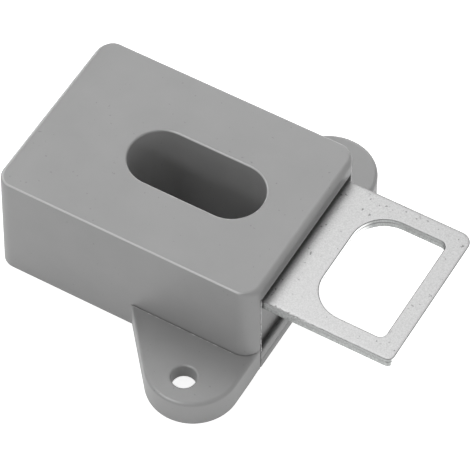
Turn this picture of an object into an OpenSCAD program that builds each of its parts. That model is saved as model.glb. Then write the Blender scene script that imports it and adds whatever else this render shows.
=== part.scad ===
// Sprung strike unit of a cabinet lock. A moulded housing is fixed by its two ears, and a steel
// strike plate reaches out of its open end. The lock's bolt drops through the plate's window.
// The plate rides on two runners, which slide on steel pins and are pushed out by two springs.
// Origin: midway between the two ear holes, on the underside. +X is the way the plate reaches.

/* [Housing] */
// Length of the housing along X, at its top
housing_length = 35; // [33.8:0.2:48]
// Width of the housing at its top
housing_width = 25; // [24.2:0.2:32]
// Height of the housing
housing_height = 15.9; // [15.2:0.1:22]
// Draft of the moulded side and rear walls, in degrees
wall_draft = 0.8; // [0:0.2:2]
// Thickness of the side walls
side_wall = 1.8; // [1.6:0.1:2.6]
// Thickness of the rear wall
rear_wall = 2; // [1.8:0.1:2.8]
// Thickness of the roof, which is the lip over the plate
roof_thickness = 2.1; // [1.6:0.1:2.6]
// Radius of the two rear corners, seen from above
rear_corner_radius = 2.1; // [1:0.1:3]
// Radius of the two corners at the open end, seen from above
end_corner_radius = 2.3; // [1:0.1:3]
// Radius along the top edges of the sides
side_edge_radius = 0.25; // [0.2:0.05:0.6]
// Radius along the top edges of the rear and of the open end
end_edge_radius = 0.7; // [0.4:0.05:0.9]

/* [Screw well] */
// Length of the round-ended well in the roof
well_length = 17.7; // [13:0.1:19.8]
// Width of the well
well_width = 8.2; // [7.6:0.1:8.8]
// Thickness of the tube round the well
well_wall = 1.2; // [1:0.1:1.4]
// Thickness of the well's floor, under the screw's head
well_floor = 1.6; // [1.2:0.1:3]
// Width of the slot in the floor, for the screw's shank
shank_slot_width = 4.5; // [4.4:0.1:5]
// Width of the rounded rim at the well's mouth
well_rim = 0.25; // [0.1:0.05:0.5]

/* [Ears] */
// Height of the ears
ear_thickness = 4; // [3:0.1:5]
// Thickness of the web that each screw clamps, over the hollow underside
ear_web = 2.1; // [1.6:0.1:2.6]
// Thickness of the rim round that hollow
ear_rim_wall = 1.6; // [1.2:0.1:2]
// Reach of each ear beyond the side wall
ear_reach = 9.7; // [8.8:0.1:14]
// Length of each ear's root along the side wall
ear_root = 16.6; // [14:0.1:22]
// Distance of each hole from the ear's tip
hole_to_tip = 3.7; // [3:0.1:4.4]
// Distance of the holes from the open end, which is also the radius of the ear's tip
hole_setback = 5.8; // [5.4:0.1:6.4]
// Diameter of the screw holes
hole_diameter = 3; // [2.6:0.1:4]
// Width of the bevel round the mouth of each hole
hole_bevel = 0.3; // [0.1:0.05:0.6]
// Radius along the top rim of each ear
ear_rim_radius = 0.5; // [0.2:0.05:0.8]

/* [Strike plate] */
// Thickness of the steel plate
plate_thickness = 1.4; // [1:0.1:1.6]
// Reach of the plate beyond the open end
plate_reach = 16.7; // [15:0.1:22]
// Length of the bolt's window along X
window_length = 10.2; // [8:0.1:11]
// Width of the bar left at the plate's outer end
end_bar = 2.3; // [1.8:0.1:3.4]
// Width of the bars left beside the window
side_bar = 2.4; // [1.8:0.1:4]
// Radius of the window's corners towards the housing
window_inner_radius = 4.3; // [2:0.1:4.8]
// Radius of the window's corners at the outer end
window_outer_radius = 0.9; // [0.5:0.1:2]
// Radius of the plate's outer corner on the +Y side
plate_corner_left = 1.6; // [0.6:0.1:2.2]
// Radius of the plate's outer corner on the -Y side
plate_corner_right = 0.9; // [0.6:0.1:2.2]

/* [Slide] */
// Travel of the plate into the housing
stroke = 3.5; // [2:0.25:4]
// Length of each runner
runner_length = 12; // [11:0.5:14]
// Bevel along the runners' lower ends
runner_bevel = 1; // [0.4:0.1:1.4]
// Diameter of the guide pins
pin_diameter = 2; // [1.6:0.1:2.2]
// Length of each pin inside its runner at rest
pin_engagement = 5; // [4:0.5:5.5]
// Length of the boss that holds each pin at the rear wall
pin_boss_length = 1.5; // [1:0.1:3]
// Diameter of the pin bosses
pin_boss_diameter = 4.4; // [4:0.1:4.6]
// Outer diameter of the springs
spring_diameter = 3.8; // [3.6:0.1:4]
// Diameter of the spring wire
spring_wire = 0.4; // [0.3:0.05:0.5]
// Turns of each spring
spring_turns = 9; // [6:1:11]

/* [Front guide] */
// Recess of the guide's face from the open end, above the sill
guide_recess = 1; // [0.6:0.1:1.4]
// Thickness of the guide
guide_thickness = 3; // [2.9:0.05:3.2]
// Height of the sill, from the underside
sill_height = 3.1; // [2.6:0.1:4.5]
// Bevel on the edge that the plate slides over
guide_bevel = 0.4; // [0.2:0.1:0.8]
// Depth of the tongues that key the guide into the side walls
tongue_depth = 0.7; // [0.4:0.1:1]
// Width of the tongues along X
tongue_width = 1.4; // [1:0.1:1.8]
// Diameter of the rubber bumpers
bumper_diameter = 3.6; // [3:0.1:4]
// Height that the bumpers stand proud of the guide
bumper_proud = 0.6; // [0.4:0.1:0.9]
// Depth of the recess that each bumper sits in
bumper_seat = 0.4; // [0.3:0.05:0.6]
// Diameter of the stem that holds each bumper
bumper_stem = 1.6; // [1.2:0.1:2]
// Depth of the hole for that stem, from the guide's back
stem_hole_depth = 1.8; // [1.4:0.1:2.2]
// Diameter of the sensor magnet
magnet_diameter = 5; // [4:0.5:6]
// Thickness of the sensor magnet
magnet_thickness = 2; // [1:0.25:2]

/* [Cover and screws] */
// Thickness of the bottom cover
cover_thickness = 1.5; // [1.2:0.1:1.8]
// Width of the ledges that the cover rests on
ledge_width = 1; // [0.6:0.1:1.4]
// Height of those ledges
ledge_height = 1.2; // [0.8:0.1:1.6]
// Width of the ribs over the plate's long edges
rib_width = 0.8; // [0.5:0.1:1.2]
// Diameter of the small screws' shanks
screw_shank = 1.6; // [1.4:0.1:1.8]
// Diameter of the small screws' heads
screw_head = 3; // [2.6:0.1:3.2]
// Length of the cover screws
cover_screw_length = 6; // [4:0.5:7]
// Length of the plate screws
plate_screw_length = 4.2; // [3.2:0.1:4.4]
// Diameter of the rear screw bosses
boss_diameter = 4.2; // [3.6:0.1:4.4]
// Depth to which those bosses merge into the rear wall
boss_merge = 0.25; // [0.1:0.05:0.5]
// Distance of the rear screws from the middle
rear_screw_spread = 3.2; // [2.8:0.1:3.6]
// Distance of the front screws from the middle
front_screw_spread = 4.6; // [4.4:0.1:4.8]

/* [Clearances] */
// Gap between the well's tube and the front guide
tube_gap = 0.8; // [0.4:0.1:1.2]
// Gap over the plate at the lip
lip_gap = 0.9; // [0.5:0.05:1.2]
// Gap between the plate and the ribs over it
rib_gap = 0.3; // [0.2:0.05:0.4]
// Gap between the plate and the guide under it
guide_gap = 0.2; // [0.1:0.05:0.4]
// Gap on each side of the plate, and round the tube that passes through it
plate_gap = 0.5; // [0.2:0.05:0.6]
// Gap between the runners and the walls beside and under them
runner_gap = 0.3; // [0.2:0.05:0.5]
// Gap left behind the plate when it is pushed fully in
tail_gap = 0.9; // [0.5:0.1:1.5]
// Gap between the runners and the bumpers at rest
stop_gap = 0.1; // [0.05:0.05:0.3]
// Running clearance of the pins in the runners, on the radius
pin_clearance = 0.05; // [0.02:0.01:0.1]
// Clearance of pieces that are pressed or pushed in, on the radius or on each side
fit_clearance = 0.02; // [0.01:0.01:0.05]
// Clearance of the cover and guide between the walls, on each side
cover_gap = 0.2; // [0.05:0.05:0.3]
// Gap between each spring's end and its seat
spring_gap = 0.05; // [0.02:0.01:0.1]
// Length of bore left beyond the end of a pin or screw
bore_spare = 0.5; // [0.2:0.1:0.6]

/* [Hidden] */
$fn = 48;
corner_steps = 10;
edge_steps = 6;
overlap = 0.01;
through = 1;
draft_rise = tan(wall_draft);

housing_front = hole_setback;
housing_rear = housing_front - housing_length;
half_width = housing_width / 2;
inner_half = half_width - side_wall;
inner_rear = housing_rear + rear_wall;
roof_underside = housing_height - roof_thickness;

guide_face = housing_front - guide_recess;
guide_back = guide_face - guide_thickness;

tube_width = well_width + 2 * well_wall;
tube_length = well_length + 2 * well_wall;
tube_front = guide_back - tube_gap;
well_x = tube_front - tube_length / 2;
shank_slot_length = well_length - (well_width - shank_slot_width);

ear_tip_radius = hole_setback;
ear_tip_y = half_width + ear_reach - ear_tip_radius;
ear_root_left = housing_front - ear_root;
ear_flank_angle = 90 + atan2(ear_tip_y - half_width, -ear_root_left)
    + asin(ear_tip_radius / norm([ear_root_left, ear_tip_y - half_width]));
hole_y = half_width + ear_reach - hole_to_tip;

plate_top = roof_underside - lip_gap;
plate_underside = plate_top - plate_thickness;
plate_half = inner_half - plate_gap;
plate_outer = housing_front + plate_reach;
plate_rear = inner_rear + stroke + tail_gap;
window_outer = plate_outer - end_bar;
window_half = plate_half - side_bar;

channel_y = (tube_width / 2 + inner_half) / 2;
runner_width = inner_half - tube_width / 2 - 2 * runner_gap;
runner_low = cover_thickness + runner_gap;
pin_z = (runner_low + plate_underside) / 2;

guide_top = plate_underside - guide_gap;
guide_half = inner_half - cover_gap;
tongue_x = (guide_face + guide_back) / 2;
magnet_z = pin_z;

runner_front = guide_back - bumper_proud - stop_gap;
runner_rear = runner_front - runner_length;
pin_tip = runner_rear + pin_engagement;
pin_root = housing_rear + rear_wall / 2;
pin_bore_end = pin_tip + stroke + bore_spare;
spring_seat = inner_rear + pin_boss_length;
spring_length = runner_rear - spring_seat - 2 * spring_gap;

screw_head_height = (screw_head - screw_shank) / 2;
rear_screw_x = inner_rear + boss_diameter / 2 - boss_merge;
boss_top = plate_underside - runner_gap;
front_screw_x = tongue_x;
screw_inset = screw_head / 2 + rib_gap;
plate_screw_rear = runner_rear + screw_inset;
plate_screw_front = runner_front - screw_inset;

plastic_grey = "#a0a1a1";
slide_black = "#2b2c2e";
steel_pale = "#d4d6d5";
steel_bright = "#c2c5c8";
spring_steel = "#a9adb2";
rubber_dark = "#1e1f21";
magnet_nickel = "#b9babd";

// How far an edge of radius r has drawn in at height z, under a top at height top
function drawn_in(r, z, top) = z <= top - r ? 0 : r - sqrt(max(0, r * r - pow(z - top + r, 2)));

// The side wall's distance from the middle at height z, and the rear wall's place there
function side_at(z) = half_width + (housing_height - z) * draft_rise;
function rear_at(z) = housing_rear - (housing_height - z) * draft_rise;

// Heights at which a rounded edge of radius r is drawn, from its foot up to the top
function edge_levels(r, top) = [for (i = [0:edge_steps]) top - r * (1 - sin(90 * i / edge_steps))];

// Points along an arc at height z, from one angle to another
function arc(centre, rx, ry, from, to, z) = [for (i = [0:corner_steps])
    let (a = from + (to - from) * i / corner_steps) [centre.x + rx * cos(a), centre.y + ry * sin(a), z]];

// Both a piece and its mirror image across the middle plane
module both_sides() {
    for (side = [-1, 1]) scale([1, side, 1]) children();
}

// A closed solid skinned over rings of equally many points, the lowest ring first
module loft(rings) {
    count = len(rings[0]);
    last = (len(rings) - 1) * count;
    walls = [for (low = [0:count:last - count]) for (i = [0:count - 1])
        let (a = low + i, b = low + (i + 1) % count)
            each [[a, a + count, b + count], [a, b + count, b]]];
    floor_face = [for (i = [0:count - 1]) i];
    top_face = [for (i = [count - 1:-1:0]) last + i];
    polyhedron([for (ring = rings) each ring], concat([floor_face], walls, [top_face]));
}

// A flat outline with round ends, along X
module stadium(length, width) {
    straight = length - width;
    square([straight, width], center = true);
    for (end = [-1, 1]) translate([end * straight / 2, 0]) circle(d = width);
}

// A cylinder along X from x0 to x1
module bar_x(x0, x1, d) {
    translate([x0, 0, 0]) rotate([0, 90, 0]) cylinder(d = d, h = x1 - x0);
}

// A box between two corners
module box_between(low, high) {
    translate(low) cube(high - low);
}

// A countersunk screw, standing on its head's flat face and reaching up
module small_screw(length, grow = 0) {
    cylinder(d1 = screw_head + 2 * grow, d2 = screw_shank + 2 * grow, h = screw_head_height);
    cylinder(d = screw_shank + 2 * grow, h = length + (grow > 0 ? bore_spare : 0));
}

module cross_recess() {
    arm = screw_head * 0.6;
    slot = screw_head * 0.16;
    depth = screw_head_height * 0.7;
    for (turn = [0, 90]) rotate(turn) translate([-arm / 2, -slot / 2, -overlap]) cube([arm, slot, depth]);
}

// The outline of the housing's outside at height z
function housing_ring(z) = let (
    side_in = drawn_in(side_edge_radius, z, housing_height),
    end_in = drawn_in(end_edge_radius, z, housing_height),
    front_x = housing_front - end_corner_radius,
    front_y = side_at(z) - end_corner_radius,
    rear_x = rear_at(z) + rear_corner_radius,
    rear_y = side_at(z) - rear_corner_radius,
    front_rx = end_corner_radius - end_in,
    front_ry = end_corner_radius - side_in,
    rear_rx = rear_corner_radius - end_in,
    rear_ry = rear_corner_radius - side_in
) concat(
    arc([front_x, -front_y], front_rx, front_ry, -90, 0, z),
    arc([front_x, front_y], front_rx, front_ry, 0, 90, z),
    arc([rear_x, rear_y], rear_rx, rear_ry, 90, 180, z),
    arc([rear_x, -rear_y], rear_rx, rear_ry, 180, 270, z)
);

module housing_outside() {
    edge = max(side_edge_radius, end_edge_radius);
    loft([for (z = concat(0, edge_levels(edge, housing_height))) housing_ring(z)]);
}

// The outline of an ear at height z, drawn in all round: a straight flank, a round tip flush with
// the open end, and a root along root_y
function ear_ring(z, inset, root_y) = let (
    tip_r = ear_tip_radius - inset,
    tip = arc([0, ear_tip_y], tip_r, tip_r, 0, ear_flank_angle, z),
    end = tip[corner_steps],
    root_x = end.x - (end.y - root_y) / tan(ear_flank_angle - 90)
) concat([[housing_front - inset, root_y, z]], tip, [[root_x, root_y, z]]);

module ear() {
    loft([for (z = concat(0, edge_levels(ear_rim_radius, ear_thickness)))
        ear_ring(z, drawn_in(ear_rim_radius, z, ear_thickness), inner_half - side_wall / 2)]);
}

// The hollow under an ear, which leaves its rim and its web
module ear_hollow() {
    hollow_root = side_at(0) + ear_rim_wall / 4;
    loft([for (z = [-through, ear_thickness - ear_web]) ear_ring(z, ear_rim_wall, hollow_root)]);
}

module ear_hole() {
    translate([0, hole_y, -through]) cylinder(d = hole_diameter, h = ear_thickness + 2 * through);
    translate([0, hole_y, ear_thickness - hole_bevel])
        cylinder(d1 = hole_diameter, d2 = hole_diameter + 4 * hole_bevel, h = 2 * hole_bevel);
}

// The tube that carries the well through the housing, from the underside to the roof
module well_tube() {
    translate([well_x, 0, 0]) linear_extrude(roof_underside + roof_thickness / 2)
        stadium(tube_length, tube_width);
}

module well_cut() {
    translate([well_x, 0, well_floor]) linear_extrude(housing_height) stadium(well_length, well_width);
    translate([well_x, 0, -through]) linear_extrude(well_floor + 2 * through)
        stadium(shank_slot_length, shank_slot_width);
}

// The bevel that eases the well's mouth. It starts inside the well and crosses the well's wall.
module well_rim_cut() {
    reach = (well_length - well_width) / 2;
    loft([for (rise = [-2 * well_rim, well_rim])
        let (r = well_width / 2 + well_rim + rise, z = housing_height + rise)
        concat(arc([well_x + reach, 0], r, r, -90, 90, z), arc([well_x - reach, 0], r, r, 90, 270, z))]);
}

module housing_bosses() {
    boss_root = inner_rear - rear_wall / 2;
    both_sides() {
        translate([0, channel_y, pin_z]) bar_x(boss_root, spring_seat, pin_boss_diameter);
        translate([rear_screw_x, rear_screw_spread, cover_thickness])
            cylinder(d = boss_diameter, h = boss_top - cover_thickness);
        box_between([boss_root, inner_half - ledge_width, cover_thickness],
                    [runner_rear - stroke - tail_gap, inner_half + side_wall / 2,
                     cover_thickness + ledge_height]);
        box_between([boss_root, plate_half - rib_gap - rib_width, plate_top + rib_gap],
                    [guide_face - stroke, plate_half - rib_gap, roof_underside + roof_thickness / 2]);
    }
}

module housing_bores() {
    both_sides() {
        ear_hollow();
        ear_hole();
        translate([0, channel_y, pin_z])
            bar_x(pin_root, spring_seat + through, pin_diameter + 2 * fit_clearance);
        translate([rear_screw_x, rear_screw_spread, 0]) small_screw(cover_screw_length, fit_clearance);
        box_between([tongue_x - tongue_width / 2 - cover_gap, inner_half - through, -through],
                    [tongue_x + tongue_width / 2 + cover_gap, inner_half + tongue_depth,
                     guide_top + cover_gap]);
    }
}

module housing() {
    color(plastic_grey) difference() {
        union() {
            difference() {
                union() {
                    housing_outside();
                    both_sides() ear();
                }
                box_between([inner_rear, -inner_half, -through],
                            [housing_front + through, inner_half, roof_underside]);
            }
            well_tube();
            housing_bosses();
        }
        well_cut();
        well_rim_cut();
        housing_bores();
    }
}

// The insert that closes the open end under the plate, with its sill and the plate's sliding edge
module front_guide() {
    color(plastic_grey) difference() {
        union() {
            rotate([90, 0, 0]) linear_extrude(2 * guide_half, center = true) polygon([
                [guide_back, cover_thickness],
                [housing_front, cover_thickness],
                [housing_front, sill_height],
                [guide_face, sill_height],
                [guide_face, guide_top - guide_bevel],
                [guide_face - guide_bevel, guide_top],
                [guide_back + guide_bevel, guide_top],
                [guide_back, guide_top - guide_bevel]
            ]);
            both_sides() box_between(
                [tongue_x - tongue_width / 2, guide_half - guide_bevel, cover_thickness],
                [tongue_x + tongue_width / 2, inner_half + tongue_depth - cover_gap, guide_top - guide_bevel]);
        }
        translate([0, 0, magnet_z])
            bar_x(guide_back - through, guide_back + magnet_thickness + fit_clearance,
                  magnet_diameter + 2 * fit_clearance);
        both_sides() {
            translate([0, channel_y, pin_z]) {
                bar_x(guide_back - through, guide_back + bumper_seat, bumper_diameter + 2 * fit_clearance);
                bar_x(guide_back, guide_back + stem_hole_depth, bumper_stem + 2 * fit_clearance);
            }
            translate([front_screw_x, front_screw_spread, 0]) small_screw(cover_screw_length, fit_clearance);
        }
    }
}

module bottom_cover() {
    color(plastic_grey) difference() {
        box_between([inner_rear + cover_gap, -guide_half, 0], [housing_front, guide_half, cover_thickness]);
        translate([well_x, 0, -through]) linear_extrude(cover_thickness + 2 * through)
            stadium(tube_length + 2 * cover_gap, tube_width + 2 * cover_gap);
        both_sides() {
            translate([rear_screw_x, rear_screw_spread, 0]) small_screw(cover_screw_length, fit_clearance);
            translate([front_screw_x, front_screw_spread, 0]) small_screw(cover_screw_length, fit_clearance);
        }
    }
}

module cover_screws() {
    color(steel_bright) both_sides()
        for (place = [[rear_screw_x, rear_screw_spread, 0], [front_screw_x, front_screw_spread, 0]])
            translate(place) difference() {
                small_screw(cover_screw_length);
                cross_recess();
            }
}

module guide_pin(side) {
    tip = pin_diameter / 8;
    color(steel_bright) translate([0, side * channel_y, pin_z]) {
        bar_x(pin_root + fit_clearance, pin_tip - tip, pin_diameter);
        translate([pin_tip - tip, 0, 0]) rotate([0, 90, 0])
            cylinder(d1 = pin_diameter, d2 = pin_diameter - 2 * tip, h = tip);
    }
}

// Points of one ring of the spring's wire, at a turn angle and a place along X
function wire_ring(angle, x, coil_r, sides) = [
    for (k = [0:sides - 1])
        let (out = coil_r + spring_wire / 2 * cos(360 * k / sides))
            [x + spring_wire / 2 * sin(360 * k / sides), out * cos(angle), out * sin(angle)]
];

// A coil spring of round wire along X, whose end turns lie closer than the others
module coil_spring(side) {
    rings = 12;
    sides = 6;
    coil_r = (spring_diameter - spring_wire) / 2;
    count = spring_turns * rings;
    run = spring_length - spring_wire;
    end_pitch = 2.2 * spring_wire;
    mid_pitch = (run - 2 * end_pitch) / (spring_turns - 2);
    along = function(turn) turn < 1 ? turn * end_pitch
        : turn > spring_turns - 1 ? run - (spring_turns - turn) * end_pitch
        : end_pitch + (turn - 1) * mid_pitch;
    centres = [for (i = [0:count]) along(i / rings)];
    points = [for (i = [0:count]) each wire_ring(360 * i / rings, centres[i], coil_r, sides)];
    walls = [for (i = [0:count - 1]) for (k = [0:sides - 1])
        let (a = i * sides + k, b = i * sides + (k + 1) % sides)
            each [[a, b, b + sides], [a, b + sides, a + sides]]];
    caps = [for (k = [1:sides - 2]) each [[0, k + 1, k],
        [count * sides, count * sides + k, count * sides + k + 1]]];
    gaps = [for (i = [0:count - rings]) centres[i + rings] - centres[i] - spring_wire];
    echo(spring_least_gap = min(gaps));
    translate([spring_seat + spring_gap + spring_wire / 2, side * channel_y, pin_z])
        polyhedron(points, concat(walls, caps));
}

// A rubber bumper with a stem, facing the runner
module stop_bumper(side) {
    stem_end = stem_hole_depth - bore_spare / 2;
    color(rubber_dark) translate([guide_back, side * channel_y, pin_z]) rotate([0, 90, 0]) rotate_extrude()
        polygon([
            [0, -bumper_proud],
            [bumper_diameter / 2 - bumper_proud / 2, -bumper_proud],
            [bumper_diameter / 2, -bumper_proud / 2],
            [bumper_diameter / 2, bumper_seat],
            [bumper_stem / 2, bumper_seat],
            [bumper_stem / 2, stem_end],
            [0, stem_end]
        ]);
}

module sensor_magnet() {
    color(magnet_nickel) translate([0, 0, magnet_z])
        bar_x(guide_back, guide_back + magnet_thickness, magnet_diameter);
}

// A rectangle with its own radius at each outer corner: high y first, then low y
module end_rounded(x0, x1, half, high_r, low_r) {
    difference() {
        translate([x0, -half]) square([x1 - x0, 2 * half]);
        translate([x1 - high_r, half - high_r]) square(2 * high_r);
        translate([x1 - low_r, -half - low_r]) square(2 * low_r);
    }
    translate([x1 - high_r, half - high_r]) circle(high_r);
    translate([x1 - low_r, low_r - half]) circle(low_r);
}

// The bolt's window: large corners towards the housing and small ones at the outer end
module bolt_window() {
    inner = window_outer - window_length;
    middle = inner + window_length / 2;
    end_rounded(middle - overlap, window_outer, window_half, window_outer_radius, window_outer_radius);
    translate([middle, 0]) mirror([1, 0])
        end_rounded(-overlap, window_length / 2, window_half, window_inner_radius, window_inner_radius);
}

module plate_screw_places() {
    for (x = [plate_screw_rear, plate_screw_front]) translate([x, channel_y, plate_top])
        mirror([0, 0, 1]) children();
}

// The stamped plate: the bolt's window outside, and a cut-out that passes the well's tube inside
module strike_plate() {
    cut_front = tube_front + stroke + plate_gap;
    cut_rear = tube_front - tube_length - plate_gap;
    cut_half = tube_width / 2 + plate_gap;
    color(steel_pale) difference() {
        translate([0, 0, plate_underside]) linear_extrude(plate_thickness) difference() {
            end_rounded(plate_rear, plate_outer, plate_half, plate_corner_left, plate_corner_right);
            bolt_window();
            translate([cut_rear, -cut_half]) square([cut_front - cut_rear, 2 * cut_half]);
        }
        both_sides() plate_screw_places() small_screw(plate_screw_length, fit_clearance);
    }
}

// A runner under one side of the plate, bored for its guide pin
module runner(side) {
    color(slide_black) scale([1, side, 1]) difference() {
        translate([0, channel_y + runner_width / 2, 0]) rotate([90, 0, 0]) linear_extrude(runner_width)
            polygon([
                [runner_rear, plate_underside],
                [runner_rear, runner_low + runner_bevel],
                [runner_rear + runner_bevel, runner_low],
                [runner_front - runner_bevel, runner_low],
                [runner_front, runner_low + runner_bevel],
                [runner_front, plate_underside]
            ]);
        translate([0, channel_y, pin_z])
            bar_x(runner_rear - through, pin_bore_end, pin_diameter + 2 * pin_clearance);
        plate_screw_places() small_screw(plate_screw_length, fit_clearance);
    }
}

module plate_screws() {
    color(steel_bright) both_sides() plate_screw_places() difference() {
        small_screw(plate_screw_length);
        cross_recess();
    }
}

housing();
front_guide();
bottom_cover();
cover_screws();
guide_pin(1);  // guide_pin_left
guide_pin(-1);  // guide_pin_right
color(spring_steel) coil_spring(1);  // return_spring_left
color(spring_steel) coil_spring(-1);  // return_spring_right
stop_bumper(1);  // stop_bumper_left
stop_bumper(-1);  // stop_bumper_right
sensor_magnet();
strike_plate();
runner(1);  // runner_left
runner(-1);  // runner_right
plate_screws();
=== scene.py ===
"""Looks of a cabinet lock's strike unit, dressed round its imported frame.

A moulded grey housing with two screw ears and a deep slotted well holds a stamped steel strike plate, which
slides into the housing's open end. Lengths are metres in the part's own frame: +X is the way the plate
reaches, +Z is up, and the origin lies midway between the two ear holes on the underside.
"""
import math

import bmesh
import bpy
import numpy as np
from mathutils import Euler, Matrix, Vector


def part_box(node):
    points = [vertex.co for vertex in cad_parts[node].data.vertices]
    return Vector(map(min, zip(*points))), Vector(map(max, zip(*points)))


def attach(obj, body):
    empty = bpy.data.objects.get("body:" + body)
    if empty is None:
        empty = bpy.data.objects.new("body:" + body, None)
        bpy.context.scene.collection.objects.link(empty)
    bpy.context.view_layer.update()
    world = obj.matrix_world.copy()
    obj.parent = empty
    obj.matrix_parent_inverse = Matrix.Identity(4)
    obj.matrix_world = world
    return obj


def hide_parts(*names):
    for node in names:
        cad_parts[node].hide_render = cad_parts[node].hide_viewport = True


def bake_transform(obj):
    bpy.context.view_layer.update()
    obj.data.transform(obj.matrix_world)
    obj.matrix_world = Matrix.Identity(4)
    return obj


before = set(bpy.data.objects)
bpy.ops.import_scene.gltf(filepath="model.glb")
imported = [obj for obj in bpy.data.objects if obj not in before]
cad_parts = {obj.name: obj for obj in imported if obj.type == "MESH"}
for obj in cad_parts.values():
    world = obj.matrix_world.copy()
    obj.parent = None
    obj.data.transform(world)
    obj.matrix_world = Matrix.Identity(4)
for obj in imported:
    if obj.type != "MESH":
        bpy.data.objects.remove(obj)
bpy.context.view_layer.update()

MM = 0.001
# How far a tool reaches out of the piece that it cuts, and a part into the piece that it joins
OVERLAP = 1 * MM

# Moulded housing
HOUSING_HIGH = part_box("housing")[1]
FRONT = HOUSING_HIGH.x
HEIGHT = HOUSING_HIGH.z
REAR = FRONT - 35 * MM
HALF_WIDTH = 12.5 * MM
DRAFT = math.tan(math.radians(0.8))
SIDE_WALL = 1.8 * MM
REAR_WALL = 2 * MM
INNER_HALF = HALF_WIDTH - SIDE_WALL
INNER_REAR = REAR + REAR_WALL
ROOF_UNDERSIDE = HEIGHT - 2.1 * MM
REAR_CORNER = 2.1 * MM
END_CORNER = 2.3 * MM
SIDE_EDGE = 0.25 * MM
END_EDGE = 0.7 * MM
BOTTOM_EDGE = 0.12 * MM
MOUTH_BEVEL = 0.1 * MM
# Points of the wall beyond this belong to the open end
OPEN_END = FRONT - END_CORNER / 4

# Inside the housing: bosses for the rear screws, ledges under the cover's edges and ribs over the plate
SCREW_BOSS_RADIUS = 2.1 * MM
LEDGE_WIDTH = 1 * MM
LEDGE_HEIGHT = 1.2 * MM
LEDGE_GAP = 0.9 * MM
RIB_INSET = 0.3 * MM
RIB_WIDTH = 0.8 * MM
RUNNING_GAP = 0.3 * MM

# Screw well
WELL_X = -9.05 * MM
WELL_REACH = 4.75 * MM
WELL_RADIUS = 4.1 * MM
TUBE_RADIUS = 5.3 * MM
SLOT_RADIUS = 2.25 * MM
WELL_FLOOR = 1.6 * MM
WELL_RIM = 0.25 * MM

# Ears
EAR_HEIGHT = 4 * MM
EAR_WEB = 2.1 * MM
EAR_RIM_WALL = 1.6 * MM
EAR_RIM_EDGE = 0.5 * MM
# Share of its width that the rim's rounding loses for each metre towards -X, and the least that it keeps
EAR_RIM_NARROWING = 0.12 / MM
EAR_RIM_LEAST = 0.4
EAR_ROOT_LIFT = 0.2 * MM
EAR_TIP_RADIUS = FRONT
EAR_TIP_Y = HOUSING_HIGH.y - EAR_TIP_RADIUS
EAR_ROOT_LEFT = FRONT - 16.6 * MM
HOLE_Y = HOUSING_HIGH.y - 3.7 * MM
HOLE_RADIUS = 1.5 * MM
HOLE_BEVEL = 0.3 * MM

# Strike plate
PLATE_LOW, PLATE_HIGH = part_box("strike_plate")
WINDOW_OUTER = PLATE_HIGH.x - 2.3 * MM
WINDOW_INNER = WINDOW_OUTER - 10.2 * MM
WINDOW_HALF = PLATE_HIGH.y - 2.4 * MM
WINDOW_INNER_CORNER = 4.3 * MM
WINDOW_OUTER_CORNER = 0.9 * MM
PLATE_CORNERS = {"left": 1.6 * MM, "right": 0.9 * MM, "rear": 0.3 * MM}
PLATE_GAP = 0.5 * MM
STROKE = 3.5 * MM
# The burr along the plate's -Y edge: its band, where it has faded and over what length, the share that is
# then left, and how far its points move
BURR_BAND = 0.4 * MM
BURR_END = FRONT + 9 * MM
BURR_FADE = 5 * MM
BURR_LEAST = 0.12
BURR_OUT = 0.06 * MM
BURR_DOWN = 0.07 * MM

# Inner pieces, which the housing, guide and cover are shaped round
PIN_LOW, PIN_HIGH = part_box("guide_pin_left")
CHANNEL_Y = (PIN_LOW.y + PIN_HIGH.y) / 2
PIN_Z = (PIN_LOW.z + PIN_HIGH.z) / 2
PIN_RADIUS = (PIN_HIGH.z - PIN_LOW.z) / 2
PIN_BOSS_RADIUS = 2.2 * MM
SPRING_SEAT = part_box("return_spring_left")[0].x - 0.05 * MM
COIL_RADIUS = 1.7 * MM
WIRE_RADIUS = 0.2 * MM
SPRING_TURNS = 9
END_TURN_PITCH = 0.88 * MM
BUMPER_RADIUS = 1.8 * MM
BUMPER_SEAT = 0.4 * MM
STEM_RADIUS = 0.8 * MM
STEM_HOLE = 1.8 * MM
GUIDE_LOW, GUIDE_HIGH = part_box("front_guide")
GUIDE_HALF = 10.5 * MM
GUIDE_FACE = GUIDE_HIGH.x - 1 * MM
SILL_HEIGHT = 3.1 * MM
GUIDE_BEVEL = 0.4 * MM
GUTTER_DEPTH = 1.1 * MM
SMALL_EDGE = 0.12 * MM
TONGUE_HALF = 0.7 * MM
MAGNET_LOW, MAGNET_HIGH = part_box("sensor_magnet")
MAGNET_RADIUS = (MAGNET_HIGH.y - MAGNET_LOW.y) / 2
COVER_LOW, COVER_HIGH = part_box("bottom_cover")
COVER_GAP = 0.2 * MM
FIT = 0.02 * MM

# Small countersunk screws
HEAD_RADIUS = 1.5 * MM
SHANK_RADIUS = 0.8 * MM
HEAD_HEIGHT = HEAD_RADIUS - SHANK_RADIUS
THREAD_PITCH = 0.35 * MM
SCREW_HOLE = 6.5 * MM
COUNTERSUNK_DEPTH = 3 * MM
SCREWS_LOW, SCREWS_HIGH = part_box("cover_screws")
REAR_SCREW = (SCREWS_LOW.x + HEAD_RADIUS, 3.2 * MM)
FRONT_SCREW = (SCREWS_HIGH.x - HEAD_RADIUS, SCREWS_HIGH.y - HEAD_RADIUS)
COVER_SCREWS = [(x, side * y) for x, y in (REAR_SCREW, FRONT_SCREW) for side in (1, -1)]
PLATE_SCREW_X = (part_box("plate_screws")[0].x + HEAD_RADIUS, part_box("plate_screws")[1].x - HEAD_RADIUS)
PLATE_SCREWS = [(x, side * CHANNEL_Y) for side in (1, -1) for x in PLATE_SCREW_X]


# Arrays and meshes

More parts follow.
